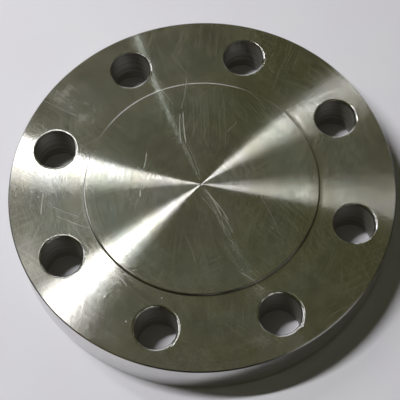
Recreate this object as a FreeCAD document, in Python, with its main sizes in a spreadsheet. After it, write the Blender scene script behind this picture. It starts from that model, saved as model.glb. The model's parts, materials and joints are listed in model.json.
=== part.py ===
"""Raised-face blind flange: a solid steel disc that is bolted over the end of a pipe.

It is one forging, turned all over and drilled with a ring of bolt holes. Its sizes are those
of ASME B16.5 Class 300, NPS 3 (DN 80). The origin is the centre of the back face and +Z
points out of the raised sealing face. The bolt holes straddle the X and Y axes.
"""

import FreeCAD, Part
import math
import os

import Sketcher

# Driving dimensions, in millimetres and degrees.
DIMENSIONS = {
    "outer_diameter": 209.55,
    "ring_thickness": 27.0,
    "face_diameter": 127.0,
    "face_height": 1.6,
    "bolt_circle_diameter": 168.28,
    "bolt_hole_diameter": 22.2,
    "bolt_hole_count": 8,
    "first_hole_angle": 22.5,
    "rim_chamfer": 0.6,
    "bolt_hole_chamfer": 1.2,
    "face_edge_chamfer": 0.3,
    "face_root_fillet": 0.4,
    "centre_mark_diameter": 1.6,
    "centre_mark_depth": 0.4,
}

LENGTH_TOLERANCE = 1e-4
VOLUME_TOLERANCE = 1e-6

ORIGIN_POINT = (-1, 1)
VERTICAL_AXIS = -2
START, END, CENTRE = 1, 2, 3


def make_sheet(doc):
    """The driving dimensions, one aliased cell each."""
    sheet = doc.addObject("Spreadsheet::Sheet", "dimensions")
    for row, (alias, value) in enumerate(DIMENSIONS.items(), start=1):
        sheet.set(f"A{row}", alias.replace("_", " "))
        sheet.set(f"B{row}", str(value))
        sheet.setAlias(f"B{row}", alias)
    doc.recompute()
    return sheet


def origin_feature(body, role):
    """One of the body's own origin planes or axes."""
    return next(feature for feature in body.Origin.OriginFeatures if feature.Role == role)


def add_sketch(body, name, plane):
    """An empty sketch on one of the body's origin planes."""
    sketch = body.newObject("Sketcher::SketchObject", name)
    sketch.AttachmentSupport = [(origin_feature(body, plane), "")]
    sketch.MapMode = "FlatFace"
    return sketch


def add_outline(sketch, points):
    """A closed chain of straight lines through the points. Returns the lines' indices."""
    corners = [FreeCAD.Vector(x, y, 0) for x, y in points]
    pairs = list(zip(corners, corners[1:] + corners[:1]))
    lines = [sketch.addGeometry(Part.LineSegment(a, b), False) for a, b in pairs]
    for line, following in zip(lines, lines[1:] + lines[:1]):
        sketch.addConstraint(Sketcher.Constraint("Coincident", line, END, following, START))
    return lines


def square_up(sketch, horizontal, vertical):
    """Keep the named lines along the sketch's two directions."""
    for line in horizontal:
        sketch.addConstraint(Sketcher.Constraint("Horizontal", line))
    for line in vertical:
        sketch.addConstraint(Sketcher.Constraint("Vertical", line))


def add_size(sketch, name, constraint, formula):
    """A named sketch dimension that follows the sheet."""
    sketch.renameConstraint(sketch.addConstraint(constraint), name)
    sketch.setExpression(f"Constraints.{name}", formula)


def circle_edges(shape, radius, heights):
    """Names of the circular edges of a given radius that lie at one of the heights."""
    names = []
    for index, edge in enumerate(shape.Edges, start=1):
        if not isinstance(edge.Curve, Part.Circle):
            continue
        same_radius = abs(edge.Curve.Radius - radius) < LENGTH_TOLERANCE
        level = any(abs(edge.Curve.Center.z - z) < LENGTH_TOLERANCE for z in heights)
        if same_radius and level:
            names.append(f"Edge{index}")
    return names


def turn_disc(body, sheet):
    """The solid disc with its raised face, as one profile turned about Z."""
    outer = sheet.outer_diameter / 2
    face = sheet.face_diameter / 2
    ring = sheet.ring_thickness
    top = ring + sheet.face_height
    sketch = add_sketch(body, "disc_profile", "XZ_Plane")
    points = [(0, 0), (outer, 0), (outer, ring), (face, ring), (face, top), (0, top)]
    back, rim, ledge, step, front, axis = add_outline(sketch, points)
    square_up(sketch, (back, ledge, front), (rim, step, axis))
    sketch.addConstraint(Sketcher.Constraint("Coincident", back, START, *ORIGIN_POINT))
    sizes = (
        ("outer_radius", back, outer, "dimensions.outer_diameter / 2"),
        ("thickness", rim, ring, "dimensions.ring_thickness"),
        ("face_rise", step, sheet.face_height, "dimensions.face_height"),
        ("face_radius", front, face, "dimensions.face_diameter / 2"),
    )
    for name, line, value, formula in sizes:
        add_size(sketch, name, Sketcher.Constraint("Distance", line, value), formula)
    disc = body.newObject("PartDesign::Revolution", "turned_disc")
    disc.Profile = sketch
    disc.ReferenceAxis = (origin_feature(body, "Z_Axis"), [""])
    disc.Angle = 360
    return disc


def mark_centre(body, sheet):
    """The shallow conical mark that the facing tool leaves at the middle of the raised face."""
    radius = sheet.centre_mark_diameter / 2
    depth = sheet.centre_mark_depth
    top = sheet.ring_thickness + sheet.face_height
    sketch = add_sketch(body, "centre_mark_profile", "XZ_Plane")
    points = [(0, top - depth), (radius, top), (0, top)]
    _, across, axis = add_outline(sketch, points)
    square_up(sketch, (across,), (axis,))
    sizes = (
        ("mark_depth", Sketcher.Constraint("Distance", axis, depth),
         "dimensions.centre_mark_depth"),
        ("mark_radius", Sketcher.Constraint("Distance", across, radius),
         "dimensions.centre_mark_diameter / 2"),
        ("mark_level", Sketcher.Constraint("DistanceY", *ORIGIN_POINT, axis, START, top),
         "dimensions.ring_thickness + dimensions.face_height"),
    )
    for name, constraint, formula in sizes:
        add_size(sketch, name, constraint, formula)
    sketch.addConstraint(Sketcher.Constraint("PointOnObject", axis, START, VERTICAL_AXIS))
    mark = body.newObject("PartDesign::Groove", "centre_mark")
    mark.Profile = sketch
    mark.ReferenceAxis = (origin_feature(body, "Z_Axis"), [""])
    mark.Angle = 360
    return mark


def drill_bolt_holes(doc, body, sheet):
    """One through hole on the bolt circle, repeated evenly about Z."""
    reach = sheet.bolt_circle_diameter / 2
    angle = math.radians(sheet.first_hole_angle)
    middle = FreeCAD.Vector(reach * math.cos(angle), reach * math.sin(angle), 0)
    sketch = add_sketch(body, "bolt_hole_place", "XY_Plane")
    arm = sketch.addGeometry(Part.LineSegment(FreeCAD.Vector(0, 0, 0), middle), True)
    up = FreeCAD.Vector(0, 0, 1)
    circle = sketch.addGeometry(Part.Circle(middle, up, sheet.bolt_hole_diameter / 2), False)
    sketch.addConstraint(Sketcher.Constraint("Coincident", arm, START, *ORIGIN_POINT))
    sketch.addConstraint(Sketcher.Constraint("Coincident", arm, END, circle, CENTRE))
    sizes = (
        ("reach", Sketcher.Constraint("Distance", arm, reach),
         "dimensions.bolt_circle_diameter / 2"),
        ("turn", Sketcher.Constraint("Angle", arm, angle),
         "dimensions.first_hole_angle * 1 deg"),
        ("bore", Sketcher.Constraint("Diameter", circle, sheet.bolt_hole_diameter),
         "dimensions.bolt_hole_diameter"),
    )
    for name, constraint, formula in sizes:
        add_size(sketch, name, constraint, formula)
    doc.recompute()
    hole = body.newObject("PartDesign::Hole", "bolt_hole")
    hole.Profile = sketch
    hole.Threaded = False
    hole.DepthType = "ThroughAll"
    hole.Reversed = True
    hole.setExpression("Diameter", "dimensions.bolt_hole_diameter")
    doc.recompute()
    pattern = body.newObject("PartDesign::PolarPattern", "bolt_holes")
    pattern.Originals = [hole]
    pattern.Axis = (origin_feature(body, "Z_Axis"), [""])
    pattern.Angle = 360
    pattern.setExpression("Occurrences", "dimensions.bolt_hole_count")
    body.Tip = pattern
    doc.recompute()
    return pattern


def dress_edges(body, kind, name, base, edges, formula):
    """A chamfer or a fillet along the named edges, as large as the formula says."""
    dress = body.newObject(f"PartDesign::{kind}", name)
    dress.Base = (base, edges)
    dress.setExpression("Radius" if kind == "Fillet" else "Size", formula)
    body.Tip = dress
    return dress


def break_edges(doc, body, sheet, base):
    """Break every sharp edge of the drilled disc and round the root of the raised face."""
    ring = sheet.ring_thickness
    top = ring + sheet.face_height
    outer = sheet.outer_diameter / 2
    face = sheet.face_diameter / 2
    hole = sheet.bolt_hole_diameter / 2
    breaks = (
        ("Chamfer", "rim_chamfers", outer, (0, ring), "dimensions.rim_chamfer"),
        ("Chamfer", "bolt_hole_chamfers", hole, (0, ring), "dimensions.bolt_hole_chamfer"),
        ("Chamfer", "face_edge_chamfer", face, (top,), "dimensions.face_edge_chamfer"),
        ("Fillet", "face_root_fillet", face, (ring,), "dimensions.face_root_fillet"),
    )
    for kind, name, radius, heights, formula in breaks:
        edges = circle_edges(base.Shape, radius, heights)
        base = dress_edges(body, kind, name, base, edges, formula)
        doc.recompute()
    return base


def check_holes(sheet, before, after):
    """The drilled volume has to be that of all the holes, cut through the whole ring."""
    radius = sheet.bolt_hole_diameter / 2
    expected = sheet.bolt_hole_count * math.pi * radius**2 * sheet.ring_thickness
    if abs(before - after - expected) > VOLUME_TOLERANCE * before:
        raise RuntimeError(f"drilling removed {before - after:.1f} mm3, not {expected:.1f}")


def check_document(doc):
    """Stop on any object that failed to recompute and on any body without a sound solid."""
    for item in doc.Objects:
        if "Invalid" in item.State or "Error" in item.State:
            raise RuntimeError(f"{item.Label} failed: {item.State}")
    for body in (item for item in doc.Objects if item.TypeId == "PartDesign::Body"):
        if body.Shape.isNull() or not body.Shape.isValid() or len(body.Shape.Solids) != 1:
            raise RuntimeError(f"{body.Label} has no sound solid")


def make_flange(doc, sheet):
    """The whole forging, from the turned disc to its broken edges."""
    body = doc.addObject("PartDesign::Body", "blind_flange")
    body.Label = "blind_flange"
    body.Placement = FreeCAD.Placement()
    turn_disc(body, sheet)
    marked = mark_centre(body, sheet)
    doc.recompute()
    drilled = drill_bolt_holes(doc, body, sheet)
    check_holes(sheet, marked.Shape.Volume, drilled.Shape.Volume)
    break_edges(doc, body, sheet, drilled)
    return body


def main():
    doc = FreeCAD.newDocument("blind_flange_model")
    sheet = make_sheet(doc)
    body = make_flange(doc, sheet)
    doc.recompute()
    check_document(doc)
    os.makedirs("parts", exist_ok=True)
    body.Shape.exportStep(f"parts/{body.Label}.step")
    box = body.Shape.BoundBox
    print(f"{body.Label}: {box.XLength:.2f} x {box.YLength:.2f} x {box.ZLength:.2f} mm, "
          f"{body.Shape.Volume:.0f} mm3, {len(body.Shape.Faces)} faces")


main()
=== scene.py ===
"""A raised-face blind flange of turned steel, lying on pale paper under two ceiling lights."""

import json
import math

import bmesh
import bpy
import numpy as np
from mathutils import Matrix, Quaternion, Vector


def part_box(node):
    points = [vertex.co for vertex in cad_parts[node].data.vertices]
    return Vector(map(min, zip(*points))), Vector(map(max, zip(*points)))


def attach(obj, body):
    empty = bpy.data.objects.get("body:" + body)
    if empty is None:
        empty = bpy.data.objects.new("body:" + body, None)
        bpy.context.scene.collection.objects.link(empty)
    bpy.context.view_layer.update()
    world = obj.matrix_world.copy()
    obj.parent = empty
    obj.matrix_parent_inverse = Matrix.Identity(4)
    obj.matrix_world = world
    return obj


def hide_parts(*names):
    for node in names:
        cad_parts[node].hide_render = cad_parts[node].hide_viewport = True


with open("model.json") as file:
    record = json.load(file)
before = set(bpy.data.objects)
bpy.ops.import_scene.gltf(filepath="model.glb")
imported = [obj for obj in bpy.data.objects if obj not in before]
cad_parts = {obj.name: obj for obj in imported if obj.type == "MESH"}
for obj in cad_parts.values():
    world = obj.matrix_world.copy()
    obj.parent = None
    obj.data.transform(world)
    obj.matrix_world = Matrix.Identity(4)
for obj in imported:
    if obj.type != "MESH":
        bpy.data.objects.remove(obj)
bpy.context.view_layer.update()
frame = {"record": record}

MM = 0.001
RECORD = frame["record"]
LOW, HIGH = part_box("blind_flange")

# The flange's own dimensions, in metres, from the frame where it gives them.
OUTER_RADIUS = (HIGH.x - LOW.x) / 2
TOP = HIGH.z
FACE_HEIGHT = 1.6 * MM
RING_TOP = TOP - FACE_HEIGHT
FACE_RADIUS = 63.5 * MM
BOLTS = next(m for m in RECORD["mounts"] if m["name"] == "bolt_circle")["dims"]
BOLT_CIRCLE_RADIUS = BOLTS["pcd_mm"] / 2 * MM
HOLE_RADIUS = BOLTS["hole_r_mm"] * MM
HOLE_COUNT = BOLTS["count"]
SECTOR = 2 * math.pi / HOLE_COUNT
RIM_CHAMFER = 0.6 * MM
ROOT_FILLET = 0.4 * MM
MARK_RADIUS = 0.8 * MM
MARK_DEPTH = 0.4 * MM

# Mesh density. A sector's hole loop has one point for each point of the sector's outline.
OUTER_STEPS = 58
INNER_STEPS = 36
SIDE_STEPS = 25
HOLE_STEPS = OUTER_STEPS + INNER_STEPS + 2 * SIDE_STEPS
SECTOR_LOOPS = 7
RIM_LEVELS = 6
FACE_RINGS = 9
FILLET_STEPS = 3
WELD = 0.001 * MM
SHARP_ANGLE = math.radians(22)

# The flange's materials, in the order in which it gets them.
FACE, RIM, BORE, BREAK, ROOT = range(5)


class Shell:
    """Vertices and faces of one closed surface, built from loops that are bridged in turn."""

    def __init__(self):
        self.points = []
        self.faces = []
        self.materials = []

    def loop(self, points):
        """Add points in order, and return their indices."""
        start = len(self.points)
        self.points.extend(points)
        return list(range(start, len(self.points)))

    def bridge(self, lower, upper, material):
        """Join two closed loops of the same length with quads."""
        count = len(lower)
        for i in range(count):
            j = (i + 1) % count
            self.faces.append((lower[i], lower[j], upper[j], upper[i]))
            self.materials.append(material)

    def bridge_all(self, loops, material):
        """Join each loop to the next."""
        for lower, upper in zip(loops, loops[1:]):
            self.bridge(lower, upper, material)

    def cap(self, loop, centre, material):
        """Close a loop with triangles that meet in one point."""
        (middle,) = self.loop([centre])
        for i, corner in enumerate(loop):
            self.faces.append((corner, loop[(i + 1) % len(loop)], middle))
            self.materials.append(material)

    def mesh(self, name):
        """The welded mesh, smooth but for its sharp edges."""
        mesh = bpy.data.meshes.new(name)
        mesh.from_pydata(self.points, [], self.faces)
        mesh.polygons.foreach_set("material_index", self.materials)
        work = bmesh.new()
        work.from_mesh(mesh)
        bmesh.ops.remove_doubles(work, verts=work.verts, dist=WELD)
        bmesh.ops.recalc_face_normals(work, faces=work.faces)
        work.to_mesh(mesh)
        work.free()
        mesh.shade_smooth()
        mesh.set_sharp_from_angle(angle=SHARP_ANGLE)
        return mesh


def circle(radius, z, count):
    """Points of a circle about the flange's axis."""
    angles = [2 * math.pi * i / count for i in range(count)]
    return [(radius * math.cos(a), radius * math.sin(a), z) for a in angles]


def sector_outline(index, inner, outer):
    """The sector round one hole, anticlockwise from the start of its outer arc, as (x, y)."""
    start, end = index * SECTOR, (index + 1) * SECTOR
    points = []
    for i in range(OUTER_STEPS):
        points.append((outer, start + SECTOR * i / OUTER_STEPS))
    for i in range(SIDE_STEPS):
        points.append((outer + (inner - outer) * i / SIDE_STEPS, end))
    for i in range(INNER_STEPS):
        points.append((inner, end - SECTOR * i / INNER_STEPS))
    for i in range(SIDE_STEPS):
        points.append((inner + (outer - inner) * i / SIDE_STEPS, start))
    return [(r * math.cos(a), r * math.sin(a)) for r, a in points]


def hole_centre(index):
    """The middle of a hole, as (x, y)."""
    angle = (index + 0.5) * SECTOR
    return BOLT_CIRCLE_RADIUS * math.cos(angle), BOLT_CIRCLE_RADIUS * math.sin(angle)


def hole_angles(index, outline):
    """Evenly spaced angles round a hole, starting towards the outline's first point."""
    x, y = hole_centre(index)
    first = math.atan2(outline[0][1] - y, outline[0][0] - x)
    return [first + 2 * math.pi * i / HOLE_STEPS for i in range(HOLE_STEPS)]


class Wobble:
    """A smooth closed curve of small random waves, for edges that were finished by hand."""

    def __init__(self, seed, waves, falloff):
        rng = np.random.default_rng(seed)
        self.order = np.arange(1, waves + 1)
        self.size = rng.normal(size=waves) / self.order**falloff
        self.phase = rng.uniform(0, 2 * math.pi, waves)

    def at(self, angle):
        return float(np.sum(self.size * np.cos(self.order * angle + self.phase)))


# Nicks where the drill left a burr: the hole, the direction from its centre, and how much
# wider they make the edge break, as a share of its usual width.
NICKS = {4: (math.radians(-44), 0.5), 5: (math.radians(-52), 0.45), 6: (math.radians(-38), 0.5)}
NICK_SPREAD = math.radians(5)


def nick(index, angle):
    """How much wider the edge break is at a nick, as a share of its usual width."""
    if index not in NICKS:
        return 0.0
    centre, size = NICKS[index]
    away = math.remainder(angle - centre, 2 * math.pi) / NICK_SPREAD
    return size * math.exp(-away * away)


# The section of an edge break, from the flat face into the bore, as shares of its width and
# its depth: how far out from the bore and how far below the face. Some edges were rounded,
# some only chamfered.
ROUNDED = ((1.0, 0.0), (0.84, 0.028), (0.52, 0.151), (0.36, 0.259), (0.0, 1.07))
CHAMFERED = ((1.0, 0.0), (0.92, 0.02), (0.66, 0.15), (0.36, 0.37), (0.0, 1.0))

# The hand-broken edge of each hole: its section, its usual width in millimetres, the
# direction in degrees in which it was broken more, and how much more in millimetres.
EDGE_BREAKS = (
    (ROUNDED, 1.0, -40, 0.65),
    (ROUNDED, 1.0, -60, 0.60),
    (ROUNDED, 1.0, -60, 0.60),
    (ROUNDED, 0.9, -55, 0.55),
    (CHAMFERED, 1.1, -60, 0.10),
    (CHAMFERED, 1.3, -10, 0.10),
    (CHAMFERED, 1.35, -30, 0.20),
    (ROUNDED, 1.0, -40, 0.65),
)

# How unevenly an edge was broken: the waves' number and falloff, and their share of the width.
SLOW_WAVES, SLOW_SHARE = (4, 1.0), 0.05
QUICK_WAVES, QUICK_SHARE = (40, 0.4), 0.015
STEEP_WAVES, STEEP_SHARE = (24, 0.5), 0.10
LEAST_BREAK = 0.3 * MM
LEAST_STEEPNESS = 0.5
SEEDS_PER_HOLE = 100
SEEDS_PER_SIDE = 10
BOTTOM_SIDE, TOP_SIDE = 0, 1
BORE_LEVELS = (0.25, 0.5, 0.75)


def break_shape(index, side):
    """Two functions of the angle round a hole: how wide and how deep its broken edge is."""
    seed = SEEDS_PER_HOLE * index + SEEDS_PER_SIDE * side
    slow = Wobble(seed, *SLOW_WAVES)
    quick = Wobble(seed + 1, *QUICK_WAVES)
    steep = Wobble(seed + 2, *STEEP_WAVES)
    _, usual, towards, reach = EDGE_BREAKS[index]

    def width(angle):
        waves = SLOW_SHARE * slow.at(angle) + QUICK_SHARE * quick.at(angle)
        leaning = reach * MM * math.cos(angle - math.radians(towards))
        return max(LEAST_BREAK, usual * MM * (1 + waves + nick(index, angle)) + leaning)

    def depth(angle):
        return width(angle) * max(LEAST_STEEPNESS, 1 + STEEP_SHARE * steep.at(angle))

    return width, depth


def hole_loops(shell, index, angles):
    """The loops of one hole, from its top edge down to its bottom edge."""
    x, y = hole_centre(index)
    top_width, top_depth = break_shape(index, TOP_SIDE)
    bottom_width, bottom_depth = break_shape(index, BOTTOM_SIDE)

    def ring(offset, level):
        return shell.loop([
            (x + (HOLE_RADIUS + offset(a)) * math.cos(a),
             y + (HOLE_RADIUS + offset(a)) * math.sin(a), level(a))
            for a in angles
        ])

    section = EDGE_BREAKS[index][0]
    top, bottom = [], []
    for out, down in section:
        top.append(ring(lambda a: out * top_width(a), lambda a: RING_TOP - down * top_depth(a)))
        bottom.append(ring(lambda a: out * bottom_width(a), lambda a: down * bottom_depth(a)))
    bore = [ring(lambda a: 0.0, lambda a: RING_TOP * (1 - share)) for share in BORE_LEVELS]
    return top, bore, bottom[::-1]


def ring_face(shell, z, hole_loop, outline):
    """The flat of one sector, from the hole's edge out to the sector's outline."""
    inner = [shell.points[i] for i in hole_loop]
    loops = [hole_loop]
    for step in range(1, SECTOR_LOOPS + 1):
        share = (step / SECTOR_LOOPS) ** 2
        loops.append(shell.loop([
            (a[0] + (b[0] - a[0]) * share, a[1] + (b[1] - a[1]) * share, z)
            for a, b in zip(inner, outline)
        ]))
    shell.bridge_all(loops, FACE)


def build_sector(shell, index):
    """One hole with the flats round it, on the front and on the back."""
    outline = sector_outline(index, FACE_RADIUS + ROOT_FILLET, OUTER_RADIUS - RIM_CHAMFER)
    angles = hole_angles(index, outline)
    top, bore, bottom = hole_loops(shell, index, angles)
    shell.bridge_all(top, BREAK)
    shell.bridge_all([top[-1], *bore, bottom[0]], BORE)
    shell.bridge_all(bottom, BREAK)
    ring_face(shell, RING_TOP, top[0], outline)
    ring_face(shell, 0.0, bottom[-1], outline)


def build_rim(shell):
    """The turned outer wall with a small chamfer at each end."""
    count = OUTER_STEPS * HOLE_COUNT
    inset = OUTER_RADIUS - RIM_CHAMFER
    levels = np.linspace(RING_TOP - RIM_CHAMFER, RIM_CHAMFER, RIM_LEVELS)
    wall = [shell.loop(circle(OUTER_RADIUS, z, count)) for z in levels]
    shell.bridge_all(wall, RIM)
    shell.bridge(shell.loop(circle(inset, RING_TOP, count)), wall[0], BREAK)
    shell.bridge(wall[-1], shell.loop(circle(inset, 0.0, count)), BREAK)


# The broken edge of the raised face, from its wall inwards: how far in and how far down.
FACE_EDGE = ((0.0, 0.46 * MM), (0.18 * MM, 0.16 * MM), (0.54 * MM, 0.0))

# Loops near the edge and near the centre mark keep the shading of the face flat: the first
# loop's distance from the edge, and the radii of the last two before the mark.
EDGE_SUPPORT = 0.1 * MM
MARK_SUPPORTS = (4 * MM, 2 * MM)


def build_raised_face(shell):
    """The root fillet, the wall, the broken edge, the face and its centre mark."""
    count = INNER_STEPS * HOLE_COUNT
    fillet = []
    for step in range(FILLET_STEPS + 1):
        turn = math.pi / 2 * step / FILLET_STEPS
        radius = FACE_RADIUS + ROOT_FILLET * (1 - math.sin(turn))
        level = RING_TOP + ROOT_FILLET * (1 - math.cos(turn))
        fillet.append(shell.loop(circle(radius, level, count)))
    shell.bridge_all(fillet, ROOT)
    edge = [shell.loop(circle(FACE_RADIUS - inset, TOP - drop, count)) for inset, drop in FACE_EDGE]
    shell.bridge(fillet[-1], edge[0], FACE)
    shell.bridge_all(edge, BREAK)
    start = FACE_RADIUS - FACE_EDGE[-1][0]
    middle = np.linspace(start, 0, FACE_RINGS)[1:-1]
    radii = [start - EDGE_SUPPORT, *middle, *MARK_SUPPORTS, MARK_RADIUS]
    loops = [edge[-1], *(shell.loop(circle(r, TOP, count)) for r in radii)]
    shell.bridge_all(loops, FACE)
    shell.cap(loops[-1], (0, 0, TOP - MARK_DEPTH), BREAK)


def build_back(shell):
    """The middle of the flat back."""
    count = INNER_STEPS * HOLE_COUNT
    radii = np.linspace(FACE_RADIUS + ROOT_FILLET, 0, FACE_RINGS)[:-1]
    loops = [shell.loop(circle(r, 0.0, count)) for r in radii]
    shell.bridge_all(loops, FACE)
    shell.cap(loops[-1], (0, 0, 0), FACE)


def build_flange(materials):
    """The whole flange as one closed mesh."""
    shell = Shell()
    for index in range(HOLE_COUNT):
        build_sector(shell, index)
    build_rim(shell)
    build_raised_face(shell)
    build_back(shell)
    flange = bpy.data.objects.new("turned_flange", shell.mesh("turned_flange"))
    bpy.context.collection.objects.link(flange)
    for material in materials:
        flange.data.materials.append(material)
    return flange


# ---------------------------------------------------------------- materials


# Below, a noise is given as its scale per millimetre, its detail and its roughness. It seldom
# leaves the first of these ranges; the narrow one gives a stronger contrast.
NOISE_RANGE = (0.3, 0.7)
NARROW_RANGE = (0.35, 0.65)

# The sockets of a mix node that are for colours. The others are for values and vectors.
MIX_FIRST, MIX_SECOND, MIX_RESULT = 6, 7, 2


class Graph:
    """A material's or a world's nodes, made with one short call each."""

    def __init__(self, tree):
        self.tree = tree

    def feed(self, socket, value):
        """Give an input a plain value or the output of another node."""
        if isinstance(value, bpy.types.NodeSocket):
            self.tree.links.new(value, socket)
        else:
            socket.default_value = value

    def feed_all(self, node, inputs):
        """Give several named inputs of a node their values."""
        for name, value in inputs.items():
            self.feed(node.inputs[name], value)

    def add(self, kind, inputs=None, **settings):
        """A new node with its named inputs and its settings."""
        made = self.tree.nodes.new(kind)
        for name, value in settings.items():
            setattr(made, name, value)
        self.feed_all(made, inputs or {})
        return made

    def math(self, operation, *operands):
        made = self.add("ShaderNodeMath", operation=operation)
        for socket, value in zip(made.inputs, operands):
            self.feed(socket, value)
        return made.outputs[0]

    def vector(self, operation, *operands):
        made = self.add("ShaderNodeVectorMath", operation=operation)
        for socket, value in zip(made.inputs, operands):
            self.feed(socket, value)
        single = operation in ("LENGTH", "DOT_PRODUCT", "DISTANCE")
        return made.outputs["Value" if single else "Vector"]

    def scale(self, vector, factor):
        made = self.add("ShaderNodeVectorMath", {"Scale": factor}, operation="SCALE")
        self.feed(made.inputs[0], vector)
        return made.outputs[0]

    def split(self, vector):
        return self.add("ShaderNodeSeparateXYZ", {"Vector": vector}).outputs

    def flat(self, place):
        """A place without its height."""
        return self.vector("MULTIPLY", place, (1, 1, 0))

    def ramp(self, value, low, high, out_low=0.0, out_high=1.0):
        """Map a value from one range to another, smoothly and clamped."""
        inputs = {"Value": value, "From Min": low, "From Max": high,
                  "To Min": out_low, "To Max": out_high}
        return self.add("ShaderNodeMapRange", inputs, interpolation_type="SMOOTHSTEP").outputs[0]

    def blend(self, factor, first, second):
        """Mix two colours."""
        made = self.add("ShaderNodeMix", data_type="RGBA")
        for index, value in ((0, factor), (MIX_FIRST, first), (MIX_SECOND, second)):
            self.feed(made.inputs[index], value)
        return made.outputs[MIX_RESULT]

    def spread(self, noise, low=0.0, high=1.0):
        """Map the usual range of a noise to another one."""
        return self.ramp(noise, *NOISE_RANGE, low, high)

    def noise(self, place, scale, detail=2.0, roughness=0.5):
        inputs = {"Vector": place, "Scale": scale, "Detail": detail, "Roughness": roughness}
        return self.add("ShaderNodeTexNoise", inputs).outputs[0]

    def noise_along(self, distance, scale, detail=2.0, roughness=0.5):
        """Noise that changes with one distance only."""
        inputs = {"W": distance, "Scale": scale, "Detail": detail, "Roughness": roughness}
        return self.add("ShaderNodeTexNoise", inputs, noise_dimensions="1D").outputs[0]

    def bump(self, height, strength, distance):
        """A normal that is tilted by the slope of a height."""
        inputs = {"Height": height, "Strength": strength, "Distance": distance}
        return self.add("ShaderNodeBump", inputs).outputs[0]

    def place(self):
        """The place on the object, in millimetres."""
        inside = self.add("ShaderNodeTexCoord").outputs["Object"]
        return self.scale(inside, 1 / MM)

    def around_axis(self):
        """The tangent that follows the tool's circular path."""
        return self.add("ShaderNodeTangent", direction_type="RADIAL", axis="Z").outputs[0]


def new_material(name):
    """A material, the graph of its nodes, and its main shader."""
    material = bpy.data.materials.new(name)
    material.use_nodes = True
    return material, Graph(material.node_tree), material.node_tree.nodes["Principled BSDF"]


# The steel's colours: on the turned faces, on marks in them, on the edges, on the rim, in the
# bores, and in the corner round the raised face.
FACE_WARM = (0.775, 0.77, 0.705, 1)
FACE_COOL = (0.775, 0.78, 0.79, 1)
FACE_DULL = (0.34, 0.335, 0.32, 1)
FACE_MARKED = (1.0, 0.995, 0.98, 1)
EDGE_PLAIN = (0.60, 0.598, 0.585, 1)
EDGE_BRIGHT = (0.78, 0.775, 0.76, 1)
RIM_LIGHT = (0.66, 0.655, 0.64, 1)
RIM_DARK = (0.60, 0.598, 0.585, 1)
# The bores' colours are darkened as painted shade inside the holes; the drill's feed rings switch
# between them.
BORE_DARK = (0.19, 0.185, 0.155, 1)
BORE_LIGHT = (0.42, 0.41, 0.35, 1)
# The corner's colour is painted shade of the raised face's step, with some dirt.
ROOT_SHADE_AND_DIRT = (0.15, 0.148, 0.13, 1)

# A scratch: the share of its width that is fully marked, and how high the hump along it, which
# is 1 in the middle, has to rise before the scratch has its full strength.
SCRATCH_MIDDLE = 0.2
SCRATCH_TAPER = 0.48


def make_scratch_group():
    """A node group: how strongly a place is on one curved scratch from start to end."""
    group = bpy.data.node_groups.new("scratch", "ShaderNodeTree")
    for name, kind in (("Place", "Vector"), ("Start", "Vector"), ("End", "Vector"),
                       ("Bend", "Float"), ("Width", "Float")):
        group.interface.new_socket(name=name, in_out="INPUT", socket_type=f"NodeSocket{kind}")
    group.interface.new_socket(name="Mark", in_out="OUTPUT", socket_type="NodeSocketFloat")
    graph = Graph(group)
    given = graph.add("NodeGroupInput").outputs
    along = graph.vector("SUBTRACT", given["End"], given["Start"])
    length = graph.vector("LENGTH", along)
    direction = graph.vector("NORMALIZE", along)
    offset = graph.vector("SUBTRACT", given["Place"], given["Start"])
    travel = graph.math("DIVIDE", graph.vector("DOT_PRODUCT", offset, direction), length)
    sideways = graph.split(graph.vector("CROSS_PRODUCT", direction, offset))["Z"]
    hump = graph.math("MULTIPLY", travel, graph.math("SUBTRACT", 1.0, travel))
    hump = graph.math("MULTIPLY", hump, 4.0)
    arch = graph.math("MULTIPLY", hump, given["Bend"])
    away = graph.math("ABSOLUTE", graph.math("SUBTRACT", sideways, arch))
    middle = graph.math("MULTIPLY", given["Width"], SCRATCH_MIDDLE)
    line = graph.ramp(away, given["Width"], middle)
    taper = graph.ramp(hump, 0.0, SCRATCH_TAPER)
    graph.add("NodeGroupOutput", {"Mark": graph.math("MULTIPLY", line, taper)})
    return group


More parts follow.
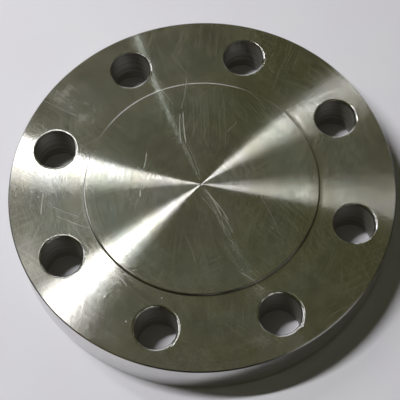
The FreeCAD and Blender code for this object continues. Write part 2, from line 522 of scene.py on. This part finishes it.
# Scratches on the front, in millimetres: the start and the end, how far the middle is bent to
# the side, and the half width. The last value is the strength.
SCRATCHES = (
    ((-6.8, 45.5), (-8.2, 26.0), -0.6, 0.30, 0.9),
    ((-5.2, 46.3), (-5.6, 25.0), -0.4, 0.32, 1.0),
    ((-8.1, 29.0), (-1.3, 3.5), 0.8, 0.45, 0.20),
    ((-5.7, 27.0), (-0.1, 1.8), 0.9, 0.35, 0.22),
    ((1.3, -2.3), (8.9, -21.2), 0.6, 0.28, 0.7),
    ((2.6, -5.5), (12.3, -24.0), 0.7, 0.28, 0.7),
    ((9.0, -19.5), (13.5, -31.0), 0.5, 0.35, 0.35),
    ((-1.0, -7.5), (6.5, -20.0), 0.4, 0.3, 0.25),
    ((-27.6, 23.2), (-30.3, 12.6), 0.3, 0.26, 0.7),
    ((-33.1, 0.8), (-33.6, -3.6), 0.1, 0.40, 0.6),
    ((-85.0, 7.5), (-87.4, -7.3), -0.3, 0.32, 0.45),
    ((-87.0, 68.0), (-62.0, 50.0), -0.8, 0.28, 0.25),
    ((-80.0, -8.0), (-62.0, -18.0), -0.4, 0.28, 0.25),
    ((-82.0, -2.0), (-66.0, -11.0), -0.4, 0.25, 0.2),
    ((-52.9, -43.2), (-44.3, -53.9), 0.6, 0.35, 0.45),
    ((-50.5, -39.5), (-39.0, -49.5), 0.4, 0.30, 0.3),
    ((-20.0, 72.0), (-10.0, 52.0), -1.2, 0.3, 0.25),
    ((-1.0, 70.0), (-6.5, 47.0), 1.0, 0.3, 0.3),
    ((28.0, 58.0), (40.0, 42.0), 1.5, 0.3, 0.2),
    ((14.5, -53.1), (26.2, -64.7), 0.5, 0.5, 0.3),
    ((24.0, 36.0), (17.0, 30.0), 0.3, 0.3, 0.25),
    ((30.0, -10.0), (38.0, -36.0), 0.9, 0.3, 0.16),
    ((-12.0, -28.0), (-8.0, -46.0), 0.5, 0.3, 0.16),
)


def scratches(graph, place):
    """The scratches that stand out on the front, each drawn by the scratch group."""
    group = make_scratch_group()
    total = 0.0
    for start, end, bend, width, strength in SCRATCHES:
        made = graph.add("ShaderNodeGroup", node_tree=group)
        graph.feed_all(made, {"Place": place, "Start": (*start, 0), "End": (*end, 0),
                              "Bend": bend, "Width": width})
        mark = graph.math("MULTIPLY", made.outputs["Mark"], strength)
        total = graph.math("MAXIMUM", total, mark)
    front = graph.math("GREATER_THAN", graph.split(place)["Z"], RING_TOP / MM / 2)
    return graph.math("MULTIPLY", total, front)


# Small dings that catch the light: the place and the radius in millimetres. The middle of a
# ding, a share of its radius, is fully bright.
DINGS = (
    ((-56.8, -57.4), 0.7),
    ((-51.6, -51.3), 0.5),
    ((-60.4, -42.8), 0.45),
    ((-47.0, -72.5), 0.5),
    ((-27.5, -62.0), 0.45),
    ((31.0, -66.5), 0.5),
    ((-73.0, -20.0), 0.4),
    ((40.5, 27.0), 0.4),
)
DING_MIDDLE = 0.3


def dings(graph, place):
    """Small bright dings."""
    total = 0.0
    flat = graph.flat(place)
    for (x, y), radius in DINGS:
        away = graph.vector("DISTANCE", flat, (x, y, 0))
        total = graph.math("ADD", total, graph.ramp(away, radius, radius * DING_MIDDLE))
    return total


# Sheaves of random hairlines: their direction in degrees, and how long and far apart they
# are, in millimetres.
HAIRLINES = (
    (78, 60, 0.36),
    (103, 70, 0.38),
    (62, 50, 0.36),
    (119, 60, 0.38),
    (138, 50, 0.42),
    (22, 50, 0.44),
)

# The noise that makes the hairlines once the place is stretched, and the ramp from no line to
# a full one. Each sheaf reads a part of the noise of its own, shifted by so much per degree.
HAIRLINE_NOISE = (1.0, 1.0, 0.6)
HAIRLINE_RAMP = (0.52, 0.74)
HAIRLINE_SHIFT = (1.7, 0.9, 0.0)

# How the hairlines bend: the drift's scale per millimetre, and its size in millimetres.
DRIFT_SCALE = 0.012
DRIFT_SIZE = 24.0

# Another noise decides where a sheaf has hairlines: how much the place is scaled for it, the
# noise, its shift per degree, and the ramp from no hairlines to all of them.
SHEAF_SCALE = 0.035
SHEAF_NOISE = (1.0, 1.0)
SHEAF_SHIFT = (2.3, 0.0, 0.0)
SHEAF_RAMP = (0.40, 0.62)

# The far half was handled more: where the hairlines grow stronger along Y, in millimetres,
# and their strength before and after.
HANDLED = (5, 45, 0.55, 0.85)


def hairlines(graph, place):
    """Fine scratches from handling, in sheaves of several directions."""
    drift = graph.noise(place, DRIFT_SCALE, 0.0)
    sideways = graph.add("ShaderNodeCombineXYZ", {"X": drift, "Y": drift}).outputs[0]
    bent = graph.vector("ADD", place, graph.scale(sideways, DRIFT_SIZE))
    total = 0.0
    for turn, length, gap in HAIRLINES:
        turned = graph.add("ShaderNodeVectorRotate", {"Vector": bent, "Angle": math.radians(-turn)},
                           rotation_type="Z_AXIS").outputs[0]
        stretched = graph.vector("MULTIPLY", turned, (1 / length, 1 / gap, 0.0))
        fine = graph.vector("ADD", stretched, [turn * step for step in HAIRLINE_SHIFT])
        streak = graph.ramp(graph.noise(fine, *HAIRLINE_NOISE), *HAIRLINE_RAMP)
        broad = graph.scale(turned, SHEAF_SCALE)
        broad = graph.vector("ADD", broad, [turn * step for step in SHEAF_SHIFT])
        patch = graph.ramp(graph.noise(broad, *SHEAF_NOISE), *SHEAF_RAMP)
        total = graph.math("ADD", total, graph.math("MULTIPLY", streak, patch))
    handled = graph.ramp(graph.split(place)["Y"], *HANDLED)
    return graph.math("MULTIPLY", graph.math("MINIMUM", total, 1.0), handled)


SMUDGE_CLOUDS, SMUDGE_RAMP = (0.05, 4.0, 0.62), (0.48, 0.72)
SMUDGE_GRAIN = (0.35, 3.0, 0.6)
SMUDGE_STRENGTH = 0.05


def smudges(graph, place):
    """A soft whitish haze in cloudy patches all over."""
    cloud = graph.ramp(graph.noise(place, *SMUDGE_CLOUDS), *SMUDGE_RAMP)
    fine = graph.noise(place, *SMUDGE_GRAIN)
    return graph.math("MULTIPLY", graph.math("MULTIPLY", cloud, fine), SMUDGE_STRENGTH)


# Stains: the place and the radius in millimetres, and the strength. The middle of a stain, a
# share of its radius, is as strong as that.
STAINS = (
    ((-68.0, 66.0), 16.0, 0.9),
    ((-58.0, 52.0), 12.0, 0.8),
    ((-57.0, -80.0), 8.0, 0.4),
    ((22.0, -93.0), 11.0, 0.7),
    ((88.0, 20.0), 14.0, 0.3),
)
STAIN_MIDDLE = 0.2
STAIN_STRENGTH = 0.26
STAIN_NOISE, STAIN_RAMP = (0.12, 4.0, 0.6), (0.30, 0.80)


def stains(graph, place):
    """The stains that stand out, broken up by noise."""
    rough = graph.ramp(graph.noise(place, *STAIN_NOISE), *STAIN_RAMP)
    flat = graph.flat(place)
    total = 0.0
    for (x, y), radius, strength in STAINS:
        away = graph.vector("DISTANCE", flat, (x, y, 0))
        spot = graph.ramp(away, radius, radius * STAIN_MIDDLE, 0.0, strength)
        total = graph.math("ADD", total, spot)
    return graph.math("MULTIPLY", graph.math("MULTIPLY", total, rough), STAIN_STRENGTH)


# The depth of the grooves along the radius, from groove to groove and over wider bands, and
# how far each tilts the normal, as a slope.
FINE_GROOVES, FINE_TILT = (1.6, 3.0, 0.7), 0.14
BROAD_GROOVES, BROAD_TILT = (0.22, 2.0, 0.5), 0.05


def groove_normal(graph, place, radius):
    """The face's normal, tilted in and out by the uneven depth of the tool's grooves."""
    fine = graph.math("SUBTRACT", graph.noise_along(radius, *FINE_GROOVES), 0.5)
    broad = graph.math("SUBTRACT", graph.noise_along(radius, *BROAD_GROOVES), 0.5)
    tilt = graph.math("ADD", graph.math("MULTIPLY", fine, FINE_TILT),
                      graph.math("MULTIPLY", broad, BROAD_TILT))
    outward = graph.vector("NORMALIZE", graph.flat(place))
    normal = graph.add("ShaderNodeNewGeometry").outputs["Normal"]
    return graph.vector("NORMALIZE", graph.vector("ADD", normal, graph.scale(outward, tilt)))


# The two lobes of the turned faces. The grooves spread light widely across themselves and
# hardly at all along themselves; the worn metal between spreads it more evenly.
GROOVE_ROUGHNESS = 0.158
GROOVE_ANISOTROPY = 0.82
WORN_ROUGHNESS = 0.40
WORN_SHARE = 0.16

# Where handling has worn the grooves down: the middle and the radius of the patch in
# millimetres, and the share of worn metal in its middle.
SCUFF_PLACE = (-99.0, -38.0, 0.0)
SCUFF_RADIUS = 26.0
SCUFF_SHARE = 0.75


def scuff(graph, place):
    """The share of worn metal, which rises smoothly towards the scuffed patch."""
    away = graph.vector("DISTANCE", graph.flat(place), SCUFF_PLACE)
    return graph.ramp(away, SCUFF_RADIUS, 0.0, WORN_SHARE, SCUFF_SHARE)


# The faint colours that the grooves split the light into: the radius in millimetres, and the
# tint there.
TINTS = (
    (8, (0.87, 0.86, 0.82)),
    (24, (0.86, 0.83, 0.81)),
    (36, (0.89, 0.88, 0.79)),
    (52, (0.88, 0.93, 0.86)),
    (67, (0.97, 0.94, 0.86)),
    (78, (0.89, 0.91, 0.88)),
    (100, (0.92, 0.88, 0.83)),
)


def radial_tint(graph, radius):
    """The tint of the grooves at a radius."""
    made = graph.add("ShaderNodeValToRGB", {"Fac": graph.math("DIVIDE", radius, OUTER_RADIUS / MM)})
    stops = made.color_ramp.elements
    while len(stops) < len(TINTS):
        stops.new(1.0)
    for stop, (distance, colour) in zip(stops, TINTS):
        stop.position = distance * MM / OUTER_RADIUS
        stop.color = (*colour, 1)
    return made.outputs["Color"]


# The change from the warm to the cool steel, and what dulls it: for each kind of unevenness the
# noise, and the most that it dulls the steel.
MOTTLES, MOTTLE_RAMP = (0.045, 3.0, 0.6), (0.38, 0.62)
BANDS, BAND_DULLNESS = (0.9, 3.0, 0.65), 0.22
GRAIN, GRAIN_DULLNESS = (1.0, 2.0, 0.6), 0.16
BLOTCHES, BLOTCH_DULLNESS = (0.14, 5.0, 0.7), 0.34
CLOUDS, CLOUD_DULLNESS = (0.055, 4.0, 0.65), 0.22

# The grain is drawn out along the grooves: its scale per radian and per millimetre of radius.
GRAIN_AROUND = 16.0
GRAIN_ACROSS = 4.0


def face_tone(graph, place, radius):
    """The colour of the turned steel: mottled, banded, and grained along the grooves."""
    around = graph.scale(graph.vector("NORMALIZE", graph.flat(place)), GRAIN_AROUND)
    across = graph.math("MULTIPLY", radius, GRAIN_ACROSS)
    across = graph.add("ShaderNodeCombineXYZ", {"Z": across}).outputs[0]
    grain = graph.noise(graph.vector("ADD", around, across), *GRAIN)
    bands = graph.noise_along(radius, *BANDS)
    blotches = graph.noise(place, *BLOTCHES)
    clouds = graph.noise(place, *CLOUDS)
    mottle = graph.ramp(graph.noise(place, *MOTTLES), *MOTTLE_RAMP)
    tone = graph.blend(mottle, FACE_WARM, FACE_COOL)
    for noise, most in ((bands, BAND_DULLNESS), (grain, GRAIN_DULLNESS),
                        (blotches, BLOTCH_DULLNESS), (clouds, CLOUD_DULLNESS)):
        tone = graph.blend(graph.spread(noise, 0.0, most), tone, FACE_DULL)
    return graph.vector("MULTIPLY", tone, radial_tint(graph, radius))


def turned_face():
    """A faced surface: fine circular grooves, hairlines, scratches and stains."""
    material, graph, worn = new_material("turned_face")
    place = graph.place()
    radius = graph.vector("LENGTH", graph.flat(place))
    normal = groove_normal(graph, place, radius)
    marks = graph.math("MAXIMUM", scratches(graph, place), dings(graph, place))
    clouds = graph.math("ADD", smudges(graph, place), stains(graph, place))
    spoiled = graph.math("ADD", marks, clouds)
    shine = graph.math("ADD", hairlines(graph, place), spoiled)
    shine = graph.math("MINIMUM", shine, 1.0)
    tone = graph.blend(shine, face_tone(graph, place, radius), FACE_MARKED)
    grooves = graph.add("ShaderNodeBsdfAnisotropic", {
        "Color": tone, "Roughness": GROOVE_ROUGHNESS, "Anisotropy": GROOVE_ANISOTROPY,
        "Normal": normal, "Tangent": graph.around_axis()}, distribution="MULTI_GGX")
    graph.feed_all(worn, {"Base Color": tone, "Metallic": 1.0, "Roughness": WORN_ROUGHNESS,
                          "Normal": normal})
    share = graph.math("ADD", scuff(graph, place), spoiled)
    mixed = graph.add("ShaderNodeMixShader")
    parts = (graph.math("MINIMUM", share, 1.0), grooves.outputs[0], worn.outputs[0])
    for socket, value in zip(mixed.inputs, parts):
        graph.feed(socket, value)
    graph.feed(graph.tree.nodes["Material Output"].inputs["Surface"], mixed.outputs[0])
    return material


RIM_LINES = (2.2, 3.0, 0.7)
RIM_CLOUDS = (0.06, 3.0, 0.6)


def turned_rim():
    """The outer wall: turned a little coarser, with faint feed lines round it."""
    material, graph, shader = new_material("turned_rim")
    place = graph.place()
    lines = graph.noise_along(graph.split(place)["Z"], *RIM_LINES)
    cloud = graph.noise(place, *RIM_CLOUDS)
    tone = graph.blend(graph.spread(cloud), RIM_LIGHT, RIM_DARK)
    graph.feed_all(shader, {
        "Base Color": tone, "Metallic": 1.0, "Roughness": graph.spread(cloud, 0.12, 0.18),
        "Anisotropic": 0.6, "Anisotropic Rotation": 0.25, "Tangent": graph.around_axis(),
        "Normal": graph.bump(lines, 0.25, 0.05 * MM)})
    return material


RING_WANDER = (0.08, 2.0)
DRILL_RINGS = (0.5, 3.0, 0.7)


def drilled_bore():
    """The drilled holes: steel darkened as painted shade inside the holes, with the drill's feed
    rings.
    """
    material, graph, shader = new_material("drilled_bore")
    place = graph.place()
    wander = graph.noise(place, *RING_WANDER)
    height = graph.math("ADD", graph.split(place)["Z"], wander)
    rings = graph.noise_along(height, *DRILL_RINGS)
    tone = graph.blend(graph.ramp(rings, *NARROW_RANGE), BORE_DARK, BORE_LIGHT)
    graph.feed_all(shader, {
        "Base Color": tone, "Metallic": 0.45, "Roughness": graph.spread(rings, 0.32, 0.5),
        "Normal": graph.bump(rings, 0.3, 0.15 * MM)})
    return material


EDGE_CHATTER = (1.1, 3.0, 0.7)


def broken_edge():
    """Edges broken by hand with a file or a scraper: bright and slightly uneven."""
    material, graph, shader = new_material("broken_edge")
    chatter = graph.noise(graph.place(), *EDGE_CHATTER)
    tone = graph.blend(graph.ramp(chatter, *NARROW_RANGE), EDGE_PLAIN, EDGE_BRIGHT)
    graph.feed_all(shader, {
        "Base Color": tone, "Metallic": 1.0, "Roughness": graph.spread(chatter, 0.10, 0.20),
        "Normal": graph.bump(chatter, 0.35, 0.12 * MM)})
    return material


def root_shade_and_dirt():
    """The corner round the raised face: painted shade of the step, with some dirt that it keeps."""
    material, graph, shader = new_material("root_shade_and_dirt")
    graph.feed_all(shader, {"Base Color": ROOT_SHADE_AND_DIRT, "Metallic": 1.0, "Roughness": 0.35})
    return material


PAPER_COOL = (0.80, 0.79, 0.83, 1)
PAPER_PLAIN = (0.81, 0.81, 0.83, 1)
PAPER_FIBRE = (0.8, 4.0, 0.7)
PAPER_CLOUDS = (0.02, 2.0)

# Where the paper turns dark in the steel's reflections only, in millimetres from the middle, and
# that
# colour: a painted dark reflection, while the camera sees the paper pale.
DARK_REFLECTION_RANGE = (170, 240)
PAINTED_DARK_REFLECTION = (0.03, 0.03, 0.025, 1)


def paper():
    """The sheet of pale paper that the flange lies on."""
    material, graph, shader = new_material("paper")
    place = graph.place()
    fibre = graph.noise(place, *PAPER_FIBRE)
    cloud = graph.noise(place, *PAPER_CLOUDS)
    tone = graph.blend(graph.spread(cloud), PAPER_COOL, PAPER_PLAIN)
    beyond = graph.ramp(graph.vector("LENGTH", place), *DARK_REFLECTION_RANGE)
    mirrored = graph.add("ShaderNodeLightPath").outputs["Is Glossy Ray"]
    # Seen in the steel, the paper far from the middle is painted dark: a painted reflection.
    tone = graph.blend(graph.math("MULTIPLY", beyond, mirrored), tone, PAINTED_DARK_REFLECTION)
    graph.feed_all(shader, {"Base Color": tone, "Roughness": 0.9, "Specular IOR Level": 0.15,
                            "Normal": graph.bump(fibre, 0.1, 0.1 * MM)})
    return material


# ---------------------------------------------------------------- stage


FLOOR_HALF = 3.0


def make_floor():
    """The floor of pale paper, in metres from the middle."""
    mesh = bpy.data.meshes.new("floor")
    corners = [(-1, -1), (1, -1), (1, 1), (-1, 1)]
    mesh.from_pydata([(x * FLOOR_HALF, y * FLOOR_HALF, 0) for x, y in corners], [], [(0, 1, 2, 3)])
    floor = bpy.data.objects.new("floor", mesh)
    floor.data.materials.append(paper())
    bpy.context.collection.objects.link(floor)


CEILING_HEIGHT = 1.5


def ceiling_light(name, place, size, turn, radiance, colour, hidden_from):
    """A rectangular light that faces straight down, of a given radiance."""
    data = bpy.data.lights.new(name, "AREA")
    data.shape = "RECTANGLE"
    data.size, data.size_y = size
    data.energy = radiance * math.pi * size[0] * size[1]
    data.color = colour
    lamp = bpy.data.objects.new(name, data)
    lamp.location = (*place, CEILING_HEIGHT)
    lamp.rotation_euler = (0, 0, math.radians(turn))
    setattr(lamp, hidden_from, False)
    bpy.context.collection.objects.link(lamp)


# The kinds of surface that a light can be hidden from.
MATT = "visible_diffuse"
GLOSSY = "visible_glossy"

WHITE = (1, 1, 1)
COOL_WHITE = (0.95, 1, 1)
GREENISH_WHITE = (0.9, 1, 1)
KEY_WHITE = (1, 0.99, 1.02)

# The lights on the ceiling: the place and the size in metres, the turn in degrees, the
# radiance, the colour, and what kind of surface doesn't see them. The paper needs far more
# light than the steel can mirror without glaring, so the far and the near light are each made
# twice: as a tube that the steel mirrors, and as a key that lights the paper and throws the
# shadow. The steel also mirrors the glow of the ceiling between them and a thin, far tube.
CEILING_LIGHTS = (
    ("far_tube", (-0.749, 1.103), (1.12, 0.11), 146, 8.0, WHITE, MATT),
    ("near_tube", (-0.464, 0.360), (0.80, 0.078), 215.5, 8.1, WHITE, MATT),
    ("far_key", (-1.09, 1.136), (1.12, 0.11), 146, 26, KEY_WHITE, GLOSSY),
    ("near_key", (-0.754, 0.29), (0.67, 0.08), 5, 133, KEY_WHITE, GLOSSY),
    ("glow", (-0.80, 0.742), (1.2, 0.5), 170, 0.25, COOL_WHITE, MATT),
    ("thin_tube", (-0.183, 1.736), (0.9, 0.016), 100.6, 3.6, GREENISH_WHITE, MATT),
)


def make_lights():
    """All the lights on the ceiling."""
    for light in CEILING_LIGHTS:
        ceiling_light(*light)


# What the steel mirrors of the room, by direction: azimuth from +X and elevation in degrees,
# how wide the patch is and how soft its edge, and its radiance. A patch covers those before it.
CEILING_GLOW = (0.056, 0.056, 0.020, 1)
ROOM_PATCHES = (
    (22, 46, 20, 20, (0.075, 0.075, 0.036, 1)),
    (98, -6, 25, 9, (1.15, 1.15, 1.15, 1)),
    (50, -8, 20, 5, (0.9, 0.9, 0.9, 1)),
    (165, 0, 24, 22, (0.07, 0.07, 0.07, 1)),
    (155, 21, 12, 8, (1.1, 1.1, 1.1, 1)),
    (268, 32, 26, 16, (0.012, 0.012, 0.010, 1)),
    (330, 28, 6, 4, (1.2, 1.2, 1.05, 1)),
    (300, 35, 7, 4, (1.1, 1.1, 0.98, 1)),
    (270, 41, 5, 4, (1.0, 1.0, 0.9, 1)),
    (345, 50, 14, 8, (0.02, 0.02, 0.016, 1)),
    (318, 58, 10, 8, (0.02, 0.02, 0.016, 1)),
)

# The dark strip along the horizon, and the height, as a sine, over which it ends.
HORIZON = (0.015, 0.015, 0.012, 1)
HORIZON_RISE = (0.03, 0.20)

# A patch that shows in front of the dark strip.
DOORWAY = (318, 15, 12, 10, (0.28, 0.28, 0.27, 1))

# What lights matt surfaces from all round, and what the camera sees past the floor.
ROOM_LIGHT = (0.035, 0.035, 0.018, 1)
BACKDROP = (0.60, 0.60, 0.62, 1)


def direction(azimuth, elevation):
    """The unit vector of a direction that is given in degrees."""
    a, e = math.radians(azimuth), math.radians(elevation)
    return math.cos(a) * math.cos(e), math.sin(a) * math.cos(e), math.sin(e)


def mirrored_room(graph):
    """The ceiling, the walls and a dark horizon, as patches of soft light."""
    ray = graph.add("ShaderNodeTexCoord").outputs["Generated"]

    def patch(colour, azimuth, elevation, width, edge, radiance):
        near = graph.vector("DOT_PRODUCT", ray, direction(azimuth, elevation))
        outer, inner = math.cos(math.radians(width + edge)), math.cos(math.radians(width))
        return graph.blend(graph.ramp(near, outer, inner), colour, radiance)

    colour = CEILING_GLOW
    for glow in ROOM_PATCHES:
        colour = patch(colour, *glow)
    height = graph.split(ray)["Z"]
    colour = graph.blend(graph.ramp(height, *HORIZON_RISE), HORIZON, colour)
    return patch(colour, *DOORWAY)


def make_world():
    """What matt surfaces, mirroring surfaces and the camera see round the floor."""
    world = bpy.data.worlds.new("room")
    bpy.context.scene.world = world
    world.use_nodes = True
    graph = Graph(world.node_tree)
    ray = graph.add("ShaderNodeLightPath").outputs
    colour = graph.blend(ray["Is Glossy Ray"], ROOM_LIGHT, mirrored_room(graph))
    colour = graph.blend(ray["Is Camera Ray"], colour, BACKDROP)
    graph.feed(graph.tree.nodes["Background"].inputs["Color"], colour)


# The camera: places in metres, the roll in radians.
CAMERA_POSITION = Vector((-0.0140, -0.2838, 0.6083))
CAMERA_AIM = Vector((-0.00173, -0.00865, 0.02712))
CAMERA_ROLL = math.radians(-4.06)
LENS_MM = 107.78
SENSOR_MM = 36.0


def make_camera():
    """A camera over the near edge of the flange, tilted a little to the side."""
    data = bpy.data.cameras.new("camera")
    data.lens = LENS_MM
    data.sensor_width = SENSOR_MM
    camera = bpy.data.objects.new("camera", data)
    camera.location = CAMERA_POSITION
    camera.rotation_mode = "QUATERNION"
    look = (CAMERA_AIM - CAMERA_POSITION).to_track_quat("-Z", "Y")
    camera.rotation_quaternion = look @ Quaternion((0, 0, 1), CAMERA_ROLL)
    bpy.context.collection.objects.link(camera)
    bpy.context.scene.camera = camera


make_camera()
make_floor()
make_lights()
make_world()
bpy.context.scene.view_settings.view_transform = "Standard"

flange = build_flange(
    [turned_face(), turned_rim(), drilled_bore(), broken_edge(), root_shade_and_dirt()])
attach(flange, "root")
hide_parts("blind_flange")
